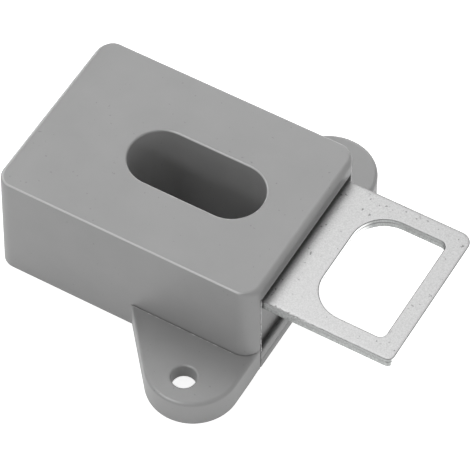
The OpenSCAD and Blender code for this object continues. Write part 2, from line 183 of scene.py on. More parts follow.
def arc(centre, radii, start, end, steps):
    """Points of an elliptical arc from start to end degrees: the centre plus radii times cosine and sine."""
    angles = np.radians(np.linspace(start, end, steps + 1))
    return np.stack([centre[0] + radii[0] * np.cos(angles), centre[1] + radii[1] * np.sin(angles)], -1)


def joined(stretches, spacing):
    """A closed outline: each arc followed by a straight run of evenly spaced points to the next arc."""
    points = []
    for k, stretch in enumerate(stretches):
        following = stretches[(k + 1) % len(stretches)][0]
        share = np.linspace(0, 1, spacing[k] + 1)[1:-1, None]
        points += [stretch, stretch[-1] * (1 - share) + following * share]
    return np.concatenate(points)


def level(outline, z):
    """An outline lifted to height z."""
    return np.column_stack([outline, np.full(len(outline), z)])


def blended(first, last, shares):
    """Rows between two rows, each a share of the way from the first to the last."""
    return [first * (1 - share) + last * share for share in shares]


def grid_faces(rows, columns, wrap_rows=False, wrap_columns=False):
    """Quads of a grid that is numbered row by row. A wrapped direction joins its last line to its first."""
    r = np.arange(rows if wrap_rows else rows - 1)[:, None]
    c = np.arange(columns if wrap_columns else columns - 1)[None, :]
    right, below = (c + 1) % columns, (r + 1) % rows
    return np.stack([r * columns + c, r * columns + right, below * columns + right, below * columns + c], -1)


def new_mesh(name, points, faces):
    """A mesh from an array of points and a list of faces, with doubles merged and faces turned outwards."""
    mesh = bpy.data.meshes.new(name)
    mesh.from_pydata(np.asarray(points).reshape(-1, 3).tolist(), [], faces)
    shape = bmesh.new()
    shape.from_mesh(mesh)
    bmesh.ops.remove_doubles(shape, verts=shape.verts, dist=1e-7)
    bmesh.ops.dissolve_degenerate(shape, edges=shape.edges, dist=1e-8)
    bmesh.ops.recalc_face_normals(shape, faces=shape.faces)
    shape.to_mesh(mesh)
    shape.free()
    return mesh


def ring_mesh(name, rows, keep=None):
    """A closed ring: rows follow its section once round, and columns follow the ring once round."""
    rows = np.asarray(rows)
    faces = grid_faces(len(rows), rows.shape[1], wrap_rows=True, wrap_columns=True)
    faces = faces.reshape(-1, 4) if keep is None else faces[keep]
    return new_mesh(name, rows, faces.tolist())


def skin(name, rows):
    """A closed solid skinned over rings of equally many points, with a flat cap at each end."""
    rows = np.asarray(rows)
    rings, count = rows.shape[:2]
    walls = grid_faces(rings, count, wrap_columns=True).reshape(-1, 4).tolist()
    ends = [list(range(count)), list(range((rings - 1) * count, rings * count))]
    return new_object(name, new_mesh(name, rows, walls + ends))


def prism(name, outline, low, high):
    """A flat outline carried straight up from low to high."""
    return skin(name, [level(np.asarray(outline), low), level(np.asarray(outline), high)])


def block(name, low, high):
    """A box between two corners."""
    outline = [(low[0], low[1]), (high[0], low[1]), (high[0], high[1]), (low[0], high[1])]
    return prism(name, outline, low[2], high[2])


def turned(name, profile, place, axis="Z", steps=48):
    """A profile of (distance along the axis, radius) pairs turned round an axis through a place."""
    angles = np.linspace(0, 2 * math.pi, steps, endpoint=False)
    along, radius = np.asarray(profile).T
    round_ = radius[:, None] * np.stack([np.cos(angles), np.sin(angles)])[:, None, :]
    length = np.broadcast_to(along[:, None], round_[0].shape)
    order = {"Z": (round_[0], round_[1], length), "X": (length, round_[0], round_[1])}[axis]
    return skin(name, np.stack(order, -1) + np.asarray(place))


def merged(name, parts):
    """One object that holds the meshes of several objects, which are then deleted."""
    shape = bmesh.new()
    for part in parts:
        shape.from_mesh(part.data)
        bpy.data.objects.remove(part)
    mesh = bpy.data.meshes.new(name)
    shape.to_mesh(mesh)
    shape.free()
    return new_object(name, mesh)


def stadium(length, width, x):
    """An outline with round ends along X, centred at x."""
    reach, radius = (length - width) / 2, width / 2
    right = arc((x + reach, 0), (radius, radius), -90, 90, 32)
    return np.concatenate([right, (2 * x, 0) - right])


def new_object(name, mesh):
    """An object at the origin that shows a mesh."""
    shown = bpy.data.objects.new(name, mesh)
    bpy.context.scene.collection.objects.link(shown)
    return shown


def settled(shown):
    """The object's mesh after its modifiers, which are then taken off."""
    mesh = bpy.data.meshes.new_from_object(shown.evaluated_get(bpy.context.evaluated_depsgraph_get()))
    shown.modifiers.clear()
    shown.data = mesh
    return shown


def combined(shown, tools, operation):
    """The object joined with, or cut by, some tools, which are then deleted."""
    tool = merged("tools", tools)
    step = shown.modifiers.new("join", "BOOLEAN")
    step.operation, step.solver, step.object = operation, "EXACT", tool
    settled(shown)
    bpy.data.objects.remove(tool)
    return shown


def eased(shown, width):
    """The object with its sharp edges rounded to a small width."""
    bevel = shown.modifiers.new("eased", "BEVEL")
    bevel.limit_method, bevel.angle_limit = "ANGLE", math.radians(40)
    bevel.width, bevel.segments = width, 2
    return settled(shown)


def finished(shown, body, finishes, nodes, sharp=35):
    """Smooth shading up to an angle, materials, and what the piece rides on and stands for. A piece with no
    body rides on none."""
    shown.data.polygons.foreach_set("use_smooth", np.ones(len(shown.data.polygons), bool))
    shown.data.set_sharp_from_angle(angle=math.radians(sharp))
    shown.data.materials.clear()
    for name in finishes:
        shown.data.materials.append(bpy.data.materials[name])
    if body:
        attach(shown, body)
    if nodes:
        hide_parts(*nodes)


# Housing

def drawn_in(radius, z, top=HEIGHT):
    """How far an edge of that radius has drawn in at height z: a quarter circle that ends at the top."""
    rise = max(0.0, z - top + radius)
    return radius - math.sqrt(max(0.0, radius * radius - rise * rise))


def wall_outline(z):
    """The housing's outside at height z, once round from the middle of its open end.

    Four elliptical corner arcs joined by straight runs. Side and rear walls lean out below the top by their
    draft, and the top and bottom edges are quarter circles. Each end corner has a point where it passes the
    inner face of the side wall, so that the open end can stop there.
    """
    lean = (HEIGHT - z) * DRAFT
    bottom = drawn_in(BOTTOM_EDGE, BOTTOM_EDGE - z, BOTTOM_EDGE)
    side_in, end_in = drawn_in(SIDE_EDGE, z) + bottom, drawn_in(END_EDGE, z) + bottom
    end = np.array([FRONT - END_CORNER, HALF_WIDTH + lean - END_CORNER])
    rear = np.array([REAR - lean + REAR_CORNER, HALF_WIDTH + lean - REAR_CORNER])
    end_radii = END_CORNER - np.array([end_in, side_in])
    rear_radii = REAR_CORNER - np.array([end_in, side_in])
    passing = math.degrees(math.asin((INNER_HALF - end[1]) / end_radii[1]))
    below = end * (1, -1)
    return joined([
        np.concatenate([arc(end, end_radii, 0, passing, 4), arc(end, end_radii, passing, 90, 14)[1:]]),
        arc(rear, rear_radii, 90, 180, 16),
        arc(rear * (1, -1), rear_radii, 180, 270, 16),
        np.concatenate([arc(below, end_radii, 270, 360 - passing, 14),
                        arc(below, end_radii, -passing, 0, 4)[1:]]),
    ], [54, 40, 54, 40])


def well_outline(outline, radius):
    """The well's outline, column by column with the wall's: the nearest point of the well's axis, plus the
    radius along the line from there to the wall."""
    axis = np.stack([np.clip(outline[:, 0], WELL_X - WELL_REACH, WELL_X + WELL_REACH), 0 * outline[:, 1]], -1)
    away = outline - axis
    return axis + radius * away / np.linalg.norm(away, axis=1, keepdims=True)


def inner_outline(outline):
    """The cavity's outline: the wall's outline, held inside the inner faces of the side and rear walls."""
    x, y = outline.T
    return np.stack([np.maximum(x, INNER_REAR), np.clip(y, -INNER_HALF, INNER_HALF)], -1)


def edge_heights(radius, top, steps):
    """Heights along a rounded top edge, from its foot up: equal angles of a quarter circle."""
    return top - radius * (1 - np.sin(np.linspace(0, math.pi / 2, steps + 1)))


def housing_shell():
    """The shell as one ring: the section runs down the outside, along the bottom, up the cavity, under the
    roof, down the tube, under it, up the slot, over the well's floor, up the well and back over the roof.

    Below the lip the section leaves out the columns between the side walls, which is the open end. The roof
    has a row close to each of its two edges, so that it shades flat.
    """
    top_edge = np.concatenate([edge_heights(END_EDGE, HEIGHT, 7), edge_heights(SIDE_EDGE, HEIGHT, 6)])
    bottom_edge = BOTTOM_EDGE - edge_heights(BOTTOM_EDGE, BOTTOM_EDGE, 3)
    wall = np.array([ROOF_UNDERSIDE, 12 * MM, 9 * MM, 6 * MM, EAR_HEIGHT, 2 * MM, 0.3 * MM])
    upper = np.unique(np.round(np.append(top_edge, HEIGHT - END_EDGE - 0.1 * MM), 9))[::-1]
    lower = np.unique(np.round(np.concatenate([wall, bottom_edge]), 9))[::-1]
    outlines = {z: wall_outline(z) for z in np.concatenate([upper, lower])}
    outside_top = [level(outlines[z], z) for z in upper]
    outside_low = [level(outlines[z], z) for z in lower]
    inside = [level(inner_outline(outlines[z]), z) for z in lower[::-1]]
    reference = outlines[lower[0]]
    tube = well_outline(reference, TUBE_RADIUS)
    slot = well_outline(reference, SLOT_RADIUS)
    well = well_outline(reference, WELL_RADIUS)
    rim = [level(well_outline(reference, WELL_RADIUS + WELL_RIM * (1 - math.cos(t))),
                 HEIGHT - WELL_RIM * (1 - math.sin(t))) for t in np.linspace(0, math.pi / 2, 6)]
    wide_rim = level(well_outline(reference, WELL_RADIUS + 1.4 * WELL_RIM), HEIGHT)
    depths = np.linspace(WELL_FLOOR, HEIGHT - WELL_RIM, 8)
    rows = (outside_top + outside_low + inside
            + [level(tube, ROOF_UNDERSIDE), level(tube, 0), level(slot, 0), level(slot, WELL_FLOOR)]
            + [level(well, z) for z in depths] + rim[1:] + [wide_rim]
            + blended(wide_rim, outside_top[0], (0.33, 0.66, 0.985)))
    rows = np.asarray(rows)
    keep = np.ones((len(rows), rows.shape[1]), bool)
    middle_y = (reference[:, 1] + np.roll(reference[:, 1], -1)) / 2
    open_columns = (reference[:, 0] > OPEN_END) & (abs(middle_y) < INNER_HALF)
    first = len(outside_top)
    last = first + len(outside_low) + len(inside) - 1
    keep[first:last, open_columns] = False
    return rows, keep


def mouth_edges(mesh):
    """Which edges run round the open end's mouth: along the lip's foot and down both side walls' ends."""
    points = np.empty(len(mesh.vertices) * 3)
    mesh.vertices.foreach_get("co", points)
    points = points.reshape(-1, 3)
    pairs = np.empty(len(mesh.edges) * 2, int)
    mesh.edges.foreach_get("vertices", pairs)
    x, y, z = np.moveaxis(points[pairs.reshape(-1, 2)], -1, 0)
    y = abs(y)
    small = 0.01 * MM
    on_end = (x > OPEN_END).all(1)
    lip_foot = (abs(z - ROOF_UNDERSIDE) < small).all(1) & (y < INNER_HALF + small).all(1)
    wall_end = (abs(y - INNER_HALF) < small).all(1) & (z < ROOF_UNDERSIDE + small).all(1)
    along_lip = lip_foot & (abs(x[:, 0] - x[:, 1]) < 10 * small)
    return on_end & (along_lip | wall_end)


def ear_outline(inset, root):
    """An ear's outline, drawn in all round: the flank flush with the open end, a round tip, the slanted flank
    that touches the tip's circle, and the root along y = root."""
    rise, run = EAR_TIP_Y - HALF_WIDTH, -EAR_ROOT_LEFT
    turn = 90 + math.degrees(math.atan2(rise, run) + math.asin(EAR_TIP_RADIUS / math.hypot(rise, run)))
    radius = EAR_TIP_RADIUS - inset
    tip = arc((0, EAR_TIP_Y), (radius, radius), 0, turn, 48)
    left = tip[-1, 0] - (tip[-1, 1] - root) / math.tan(math.radians(turn - 90))
    return joined([tip, np.array([[left, root]]), np.array([[FRONT - inset, root]])], [10, 24, 8])


def ear_rows():
    """An ear as one ring: the section runs up the side, round the rim, over the top to the hole's bevel, down
    the bore, out under the web and down the inside of the rim wall.

    The rim's rounding grows narrower from the tip to the slanted flank. Inside the housing's wall the
    underside rises a little, so that the two undersides don't lie in one plane where they overlap.
    """
    root = INNER_HALF
    outside = ear_outline(0, root)
    centre = np.array([0, HOLE_Y])
    away = outside - centre
    away /= np.linalg.norm(away, axis=1, keepdims=True)
    wall_at_foot = HALF_WIDTH + HEIGHT * DRAFT
    hollow = ear_outline(EAR_RIM_WALL, wall_at_foot + EAR_RIM_WALL / 4)
    web_low = EAR_HEIGHT - EAR_WEB
    bevel = [level(centre + away * (HOLE_RADIUS + HOLE_BEVEL * (1 - math.cos(t))),
                   EAR_HEIGHT - HOLE_BEVEL * (1 - math.sin(t))) for t in np.linspace(0, math.pi / 2, 5)]
    rim_heights = edge_heights(EAR_RIM_EDGE, EAR_HEIGHT, 7)
    soft = np.clip(1 + EAR_RIM_NARROWING * outside[:, :1], EAR_RIM_LEAST, 1)
    rim = [level(outside + soft * (ear_outline(drawn_in(EAR_RIM_EDGE, z, EAR_HEIGHT), root) - outside), z)
           for z in rim_heights]
    foot = BOTTOM_EDGE - edge_heights(BOTTOM_EDGE, BOTTOM_EDGE, 3)
    side = [level(ear_outline(drawn_in(BOTTOM_EDGE, BOTTOM_EDGE - z, BOTTOM_EDGE), root), z)
            for z in foot[::-1]]
    side += [level(outside, z) for z in (0.4 * MM, EAR_HEIGHT - EAR_RIM_EDGE - 0.1 * MM)]
    near_mouth = level(centre + away * (HOLE_RADIUS + 1.3 * HOLE_BEVEL), EAR_HEIGHT)
    inside = [level(centre + away * HOLE_RADIUS, web_low), level(hollow, web_low), level(hollow, 0)]
    rows = np.asarray(side + rim + blended(rim[-1], near_mouth, (0.04, 0.5, 1)) + bevel[::-1] + inside)
    inside_wall = np.clip((wall_at_foot - rows[..., 1]) / SIDE_WALL, 0, 1)
    rows[..., 2] += EAR_ROOT_LIFT * inside_wall * (rows[..., 2] < BOTTOM_EDGE + 0.03 * MM)
    return rows


def countersink(x, y, face, up, depth):
    """A tool for a countersunk screw's hole, which goes up (1) or down (-1) from the face at that height."""
    head, shank = HEAD_RADIUS + FIT, SHANK_RADIUS + FIT
    profile = [(-OVERLAP / 2, head), (0, head), (HEAD_HEIGHT, shank), (depth, shank)]
    return turned("tool", [(up * along, radius) for along, radius in profile], (x, y, face))


def housing_inside():
    """What stands inside the shell: bosses for the pins and the rear screws, ledges under the cover's edges
    and ribs over the plate's long edges."""
    wall = INNER_REAR - REAR_WALL / 2
    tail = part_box("runner_left")[0].x - STROKE - LEDGE_GAP
    boss_top = PLATE_LOW.z - RUNNING_GAP
    parts = []
    for side in (1, -1):
        parts.append(turned("boss", [(wall, PIN_BOSS_RADIUS), (SPRING_SEAT, PIN_BOSS_RADIUS)],
                            (0, side * CHANNEL_Y, PIN_Z), "X"))
        parts.append(turned("boss", [(COVER_HIGH.z, SCREW_BOSS_RADIUS), (boss_top, SCREW_BOSS_RADIUS)],
                            (REAR_SCREW[0], side * REAR_SCREW[1], 0)))
        ledge = sorted([side * (INNER_HALF - LEDGE_WIDTH), side * (INNER_HALF + SIDE_WALL / 2)])
        parts.append(block("ledge", (wall, ledge[0], COVER_HIGH.z),
                           (tail, ledge[1], COVER_HIGH.z + LEDGE_HEIGHT)))
        rib = sorted([side * (PLATE_HIGH.y - RIB_INSET - RIB_WIDTH), side * (PLATE_HIGH.y - RIB_INSET)])
        parts.append(block("rib", (wall, rib[0], PLATE_HIGH.z + RUNNING_GAP),
                           (GUIDE_FACE - STROKE, rib[1], ROOF_UNDERSIDE + OVERLAP)))
    return parts


def housing_cuts():
    """Tools for the pins' bores, the rear screws' holes and the grooves that key the front guide."""
    middle = (GUIDE_LOW.x + GUIDE_FACE) / 2
    bore = PIN_RADIUS + FIT
    tools = []
    for side in (1, -1):
        tools.append(turned("tool", [(INNER_REAR - REAR_WALL / 2, bore), (SPRING_SEAT + OVERLAP, bore)],
                            (0, side * CHANNEL_Y, PIN_Z), "X"))
        tools.append(countersink(REAR_SCREW[0], side * REAR_SCREW[1], 0, 1, SCREW_HOLE))
        groove = sorted([side * (INNER_HALF - OVERLAP), side * (GUIDE_HIGH.y + COVER_GAP)])
        tools.append(block("tool", (middle - TONGUE_HALF - COVER_GAP, groove[0], -OVERLAP),
                           (middle + TONGUE_HALF + COVER_GAP, groove[1], GUIDE_HIGH.z + COVER_GAP)))
    return tools


def housing():
    """The moulded housing: the shell with its mouth's edges bevelled, then joined with the ears and what
    stands inside, then cut by the bores, the screws' holes and the grooves."""
    rows, keep = housing_shell()
    shell = new_object("moulded_housing", ring_mesh("moulded_housing", rows, keep))
    weights = shell.data.attributes.new("bevel_weight_edge", "FLOAT", "EDGE")
    weights.data.foreach_set("value", mouth_edges(shell.data).astype(np.float32))
    bevel = shell.modifiers.new("mouth", "BEVEL")
    bevel.limit_method, bevel.width, bevel.segments = "WEIGHT", MOUTH_BEVEL, 3
    settled(shell)
    ears = [new_object("ear", ring_mesh("ear", np.asarray(ear_rows()) * (1, side, 1))) for side in (1, -1)]
    combined(shell, ears + housing_inside(), "UNION")
    combined(shell, housing_cuts() + [foot_groove(side) for side in (1, -1)], "DIFFERENCE")
    finished(shell, "housing", ["moulded_grey_abs"], ["housing"])
    return shell


def wandering(count, seeded, least=0.01 * MM, most=0.025 * MM):
    """Small seeded waves along a path: four sines of rising frequency, each with its own size and phase."""
    share = np.linspace(0, 1, count)
    return sum(seeded.uniform(least, most) * np.sin(2 * math.pi * (turns * share + seeded.random()))
               for turns in (3, 5, 9, 14))


def bead(path, across, up, radius):
    """A bead along a path: at each point an ellipse in the plane of two directions. It shrinks to a tip
    0.02 mm across at both ends."""
    angles = np.linspace(0, 2 * math.pi, 10, endpoint=False)
    radius = np.array(radius)
    radius[[0, -1]] = 0.01 * MM
    section = np.cos(angles)[:, None] * np.array(across) + np.sin(angles)[:, None] * np.array(up)
    return skin("bead", path[:, None] + radius[:, None, None] * section)


def mouth_flash():
    """Thin flash that the mould left along the open end's inner edges.

    A flat bead runs down each wall's end and along the lip's foot. On the walls its middle wanders: a half
    sine wave over the height, which sets it further into the wall at mid height, plus small seeded waves. At
    the sill it bends inwards and down over the sill's edge, and thins out.
    """
    seeded = np.random.default_rng(7)
    count = 90
    share = np.linspace(0, 1, count)
    foot, head = SILL_HEIGHT + 0.2 * MM, ROOF_UNDERSIDE - 0.1 * MM
    inset, bow, foot_bend = 0.14 * MM, 0.1 * MM, 0.06 * MM
    thick, swell, ripple = 0.055 * MM, 0.02 * MM, 44
    hook_reach, hook_drop, hook_thick = 0.75 * MM, 1.1 * MM, 0.07 * MM
    proud = 0.02 * MM
    beads = []
    for side in (1, -1):
        middle = INNER_HALF - inset + bow * np.sin(math.pi * share) - foot_bend * (1 - share) ** 6
        wall = np.stack([np.full(count, FRONT), side * (middle + wandering(count, seeded)),
                         foot + share * (head - foot)], -1)
        beads.append(bead(wall, (1, 0, 0), (0, 1.2, 0), thick + swell * np.sin(ripple * share + side)))
        hook = np.stack([np.full(count, FRONT + proud), side * (INNER_HALF - 0.2 * MM - hook_reach * share),
                         foot + 0.1 * MM - hook_drop * share], -1)
        beads.append(bead(hook, (1, 0, 0), (0, 0.8, 0.6 * side),
                          hook_thick * np.cos(0.45 * math.pi * share)))
    lip = np.stack([np.full(count, FRONT - proud), (2 * share - 1) * (INNER_HALF - 0.1 * MM),
                    ROOF_UNDERSIDE + 0.03 * MM + wandering(count, seeded) / 3], -1)
    beads.append(bead(lip, (1, 0, 0), (0, 0, 1), np.full(count, 0.06 * MM)))
    finished(merged("mouth_flash", beads), "housing", ["moulded_abs_flash"], [])


def wall_foot(side):
    """The line where the wall meets an ear's top, from the open end to the ear's left root, and the
    direction away from the wall at each of its points."""
    outline = wall_outline(EAR_HEIGHT)[1:]
    near = outline[(outline[:, 1] > HALF_WIDTH - END_CORNER) & (outline[:, 0] > EAR_ROOT_LEFT)]
    along = np.gradient(near, axis=0)
    away = np.stack([along[:, 1], -along[:, 0]], -1) / np.linalg.norm(along, axis=1, keepdims=True)
    return near * (1, side), away * (1, side)


def foot_groove(side):
    """A tool for the fine groove between the wall's foot and an ear: a four-sided section along the line,
    whose corners are given in mm as the reach away from the wall and the rise above the ear."""
    line, away = wall_foot(side)
    corners = [(-0.02, -0.13), (0.1, -0.1), (0.12, 0.1), (-0.01, 0.1)]
    rows = [level(line + away * reach * MM, EAR_HEIGHT + rise * MM) for reach, rise in corners]
    return skin("tool", np.stack(rows, 1))


def foot_flash():
    """Broken flash along the parting line, where the wall meets each ear: a bead whose height comes and goes
    with seeded waves."""
    seeded = np.random.default_rng(5)
    count = 150
    start, end = EAR_ROOT_LEFT + 0.4 * MM, FRONT - END_CORNER
    clear_of_wall, sunk = 0.15 * MM, 0.01 * MM
    mean, least, most = 0.03 * MM, 0.022 * MM, 0.07 * MM
    beads = []
    for side in (1, -1):
        line = wall_foot(side)[0]
        path = np.stack([np.linspace(start, end, count),
                         np.full(count, side * (abs(line[:, 1]).max() + clear_of_wall)),
                         np.full(count, EAR_HEIGHT - sunk)], -1)
        height = np.clip(mean + wandering(count, seeded, 0.01 * MM, 0.03 * MM), least, most)
        beads.append(bead(path, (0, 1, 0), (0, 0, 1), height))
    finished(merged("parting_flash", beads), "housing", ["moulded_abs_flash"], [])


# Front guide, cover and screws

def front_guide():
    """The insert under the plate: its side view carried along Y, with two tongues, and seats cut for the
    magnet, the bumpers and the screws. A gutter runs along the sill, at the foot of the wall."""
    back, face, front = GUIDE_LOW.x, GUIDE_FACE, GUIDE_HIGH.x
    low, high = GUIDE_LOW.z, GUIDE_HIGH.z
    sill_edge, gutter = 0.15 * MM, SILL_HEIGHT - GUTTER_DEPTH
    side_view = np.array([
        (back, low), (front, low), (front, SILL_HEIGHT - sill_edge), (front - sill_edge, SILL_HEIGHT),
        (face + 0.55 * MM, SILL_HEIGHT - 0.2 * MM), (face + 0.3 * MM, gutter + 0.2 * MM), (face, gutter),
        (face, high - GUIDE_BEVEL), (face - GUIDE_BEVEL, high),
        (back + GUIDE_BEVEL, high), (back, high - GUIDE_BEVEL),
    ])
    ends = [np.column_stack([side_view[:, 0], np.full(len(side_view), y), side_view[:, 1]])
            for y in (-GUIDE_HALF, GUIDE_HALF)]
    guide = skin("moulded_front_guide", ends)
    middle = (back + face) / 2
    tongues, seats = [], []
    for side in (1, -1):
        reach = sorted([side * (GUIDE_HALF - 0.4 * MM), side * GUIDE_HIGH.y])
        tongues.append(block("tongue", (middle - TONGUE_HALF, reach[0], low),
                             (middle + TONGUE_HALF, reach[1], high - GUIDE_BEVEL)))
        seat = [(back - OVERLAP, BUMPER_RADIUS + FIT), (back + BUMPER_SEAT, BUMPER_RADIUS + FIT),
                (back + BUMPER_SEAT, STEM_RADIUS + FIT), (back + STEM_HOLE, STEM_RADIUS + FIT)]
        seats.append(turned("tool", seat, (0, side * CHANNEL_Y, PIN_Z), "X"))
        seats.append(turned("tool", [(0, SHANK_RADIUS + FIT), (SCREW_HOLE, SHANK_RADIUS + FIT)],
                            (FRONT_SCREW[0], side * FRONT_SCREW[1], 0)))
    magnet_bore = MAGNET_RADIUS + FIT
    seats.append(turned("tool", [(back - OVERLAP, magnet_bore), (MAGNET_HIGH.x + FIT, magnet_bore)],
                        (0, 0, PIN_Z), "X"))
    eased(combined(guide, tongues, "UNION"), SMALL_EDGE)
    combined(guide, seats, "DIFFERENCE")
    finished(guide, "housing", ["moulded_grey_abs"], ["front_guide"])


def bottom_cover():
    """The flat cover, with a hole that passes the well's tube and countersinks for its four screws."""
    cover = block("moulded_bottom_cover", COVER_LOW, COVER_HIGH)
    passage = TUBE_RADIUS + COVER_GAP
    hole = prism("tool", stadium(2 * (WELL_REACH + passage), 2 * passage, WELL_X),
                 -OVERLAP, COVER_HIGH.z + OVERLAP)
    eased(combined(cover, [hole], "DIFFERENCE"), SMALL_EDGE)
    combined(cover, [countersink(x, y, 0, 1, COUNTERSUNK_DEPTH) for x, y in COVER_SCREWS], "DIFFERENCE")
    finished(cover, "housing", ["moulded_grey_abs"], ["bottom_cover"])


def cross_outline(size):
    """A plus sign: four arms of the given reach, each as wide as six tenths of it."""
    half = 0.3 * size
    quarter = np.array([(size, -half), (size, half), (half, half)])
    angles = np.arange(4) * math.pi / 2
    turns = [np.array([[math.cos(a), math.sin(a)], [-math.sin(a), math.cos(a)]]) for a in angles]
    return np.concatenate([quarter @ turn for turn in turns])


def small_screw(x, y, face, up, length):
    """A countersunk screw: a slightly domed head with a cross recess, a cone, and rings for its thread.

    The head's rows are depths in mm with shares of its radius, a thread's rows are shares of its pitch with
    radii, and the recess's rows are shares of the head's radius with depths in mm.
    """
    dome = [(0.01, 0.7), (0.03, 0.94), (0.08, 0.985), (0.14, 0.96)]
    core = 0.82 * SHANK_RADIUS
    turn = [(0, core), (0.2, SHANK_RADIUS), (0.4, SHANK_RADIUS), (0.6, core)]
    starts = np.arange(HEAD_HEIGHT + THREAD_PITCH, length - 2 * THREAD_PITCH, THREAD_PITCH)
    profile = [(depth * MM, share * HEAD_RADIUS) for depth, share in dome] + [(HEAD_HEIGHT, SHANK_RADIUS)]
    profile += [(start + share * THREAD_PITCH, radius) for start in starts for share, radius in turn]
    profile += [(length - THREAD_PITCH, 0.8 * SHANK_RADIUS), (length, 0.3 * SHANK_RADIUS)]
    screw = turned("screw", [(up * along, radius) for along, radius in profile], (x, y, face))
    recess = skin("tool", [level(cross_outline(share * HEAD_RADIUS) + (x, y), face + up * depth * MM)
                           for share, depth in ((0.66, -0.1), (0.6, 0.1), (0.3, 0.55))])
    return combined(screw, [recess], "DIFFERENCE")


def screws():
    """The four screws of the cover, which point up, and the four of the plate, which point down."""
    low, high = SCREWS_LOW.z, SCREWS_HIGH.z
    cover = merged("cover_cross_screws", [small_screw(x, y, low, 1, high - low) for x, y in COVER_SCREWS])
    finished(cover, "housing", ["zinc_plated_screw_steel"], ["cover_screws"])
    low, high = (corner.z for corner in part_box("plate_screws"))
    plate = merged("plate_cross_screws", [small_screw(x, y, high, -1, high - low) for x, y in PLATE_SCREWS])
    finished(plate, "strike", ["zinc_plated_screw_steel"], ["plate_screws"])


# Strike plate

def rounded_rectangle(x0, x1, y, radii):
    """A rectangle from x0 to x1 and from -y to y. Its radii go round from the corner at x1 and y."""
    corners = ((x1, y, 1, 1), (x0, y, -1, 1), (x0, -y, -1, -1), (x1, -y, 1, -1))
    arcs = [arc((at_x - to_x * r, at_y - to_y * r), (r, r), 90 * k, 90 * k + 90, 12)
            for k, ((at_x, at_y, to_x, to_y), r) in enumerate(zip(corners, radii))]
    return joined(arcs, [260, 40, 260, 60])


def plate_outline(inset):
    """The plate's outline, drawn in all round: a rectangle with its own radius at each corner."""
    x0, x1, y = PLATE_LOW.x + inset, PLATE_HIGH.x - inset, PLATE_HIGH.y - inset
    left, right, rear = (max(r - inset, 0.02 * MM) for r in PLATE_CORNERS.values())
    return rounded_rectangle(x0, x1, y, (left, rear, rear, right))


def window_outline(grow):
    """The bolt window's outline, grown all round: large corners towards the housing, small ones outside."""
    x0, x1, y = WINDOW_INNER - grow, WINDOW_OUTER + grow, WINDOW_HALF + grow
    large, small = WINDOW_INNER_CORNER + grow, WINDOW_OUTER_CORNER + grow
    return rounded_rectangle(x0, x1, y, (small, large, large, small))


def sheared_edge(outline, sign, seeded):
    """Rows down a sheared edge: the roll-over at the top, the burnished land, the groove where the metal
    broke, the break zone and a small round at the foot. Land and break zone wander by seeded noise, summed
    over five neighbouring points. sign is 1 where the edge draws in and -1 where it grows."""
    top, foot = PLATE_HIGH.z, PLATE_LOW.z
    roll, land, groove, step, round_ = 0.13 * MM, 0.45 * MM, 0.13 * MM, 0.03 * MM, 0.1 * MM
    broken, burnished, neighbours = 0.012 * MM, 0.004 * MM, 5
    steps = [(roll * (1 - math.sin(t)), top - roll * (1 - math.cos(t)))
             for t in np.linspace(0, math.pi / 2, 6)]
    steps += [(0, top - land), (groove, top - land - 0.08 * MM), (step, top - land - 0.18 * MM),
              (step, foot + 0.35 * MM), (step, foot + round_)]
    steps += [(step + round_ * (1 - math.cos(t)), foot + round_ * (1 - math.sin(t)))
              for t in np.linspace(math.pi / 6, math.pi / 2, 3)]
    rows = []
    for inset, z in steps:
        ring = outline(sign * inset)
        rough = broken if z < top - land else burnished
        if foot + 1.5 * round_ < z < top - roll:
            pushes = seeded.normal(0, rough, (len(ring) + neighbours - 1, 2))
            ring = ring + sum(pushes[k:k + len(ring)] for k in range(neighbours)) / 3
        rows.append(level(ring, z))
    return rows


def ragged(row, seeded):
    """A row whose points along the -Y edge, near the housing, are pushed about by seeded noise: the burr that
    the shears left. The noise fades along the edge to a small share, and is nil on the other sides."""
    x, y, z = row.T
    near = np.clip((BURR_BAND - PLATE_HIGH.y - y) / (BURR_BAND / 2), 0, 1)
    fade = near * np.clip((BURR_END - x) / BURR_FADE, BURR_LEAST, 1)
    bumps = np.convolve(seeded.normal(0, 1, len(x) + 1), np.ones(2) / 2, "valid")
    return np.stack([x, y + fade * BURR_OUT * bumps, z - fade * BURR_DOWN * abs(bumps)], -1)


def strike_plate():
    """The plate as one ring: the outline's sheared edge on the outside and the window's inside. The cut-out
    that passes the well's tube, and the screws' countersinks, are cut from it."""
    seeded = np.random.default_rng(3)
    outside = sheared_edge(plate_outline, 1, seeded)
    window = sheared_edge(lambda inset: window_outline(-inset), -1, seeded)
    burred = [ragged(row, seeded) for row in outside[:4]]
    by_window = [level(window_outline(0.24 * MM), PLATE_HIGH.z)]
    by_edge = [level(plate_outline(inset), PLATE_HIGH.z) for inset in (0.48 * MM, 0.4 * MM)]
    rows = by_window + by_edge + burred + outside[4:] + window[::-1]
    plate = new_object("stamped_plate", ring_mesh("stamped_plate", rows))
    tube_front = WELL_X + WELL_REACH + TUBE_RADIUS
    tube_rear = WELL_X - WELL_REACH - TUBE_RADIUS
    half = TUBE_RADIUS + PLATE_GAP
    cut = block("tool", (tube_rear - PLATE_GAP, -half, PLATE_LOW.z - OVERLAP),
                (tube_front + STROKE + PLATE_GAP, half, PLATE_HIGH.z + OVERLAP))
    sinks = [countersink(x, y, PLATE_HIGH.z, -1, COUNTERSUNK_DEPTH) for x, y in PLATE_SCREWS]
    combined(plate, [cut] + sinks, "DIFFERENCE")
    finished(plate, "strike",
             ["dull_nickel_plated_steel", "sheared_steel_edge"], ["strike_plate"])
    normals = np.empty(len(plate.data.polygons) * 3)
    plate.data.polygons.foreach_get("normal", normals)
    upright = abs(normals.reshape(-1, 3)[:, 2]) < 0.5
    plate.data.polygons.foreach_set("material_index", upright.astype(np.int32))


# Return springs

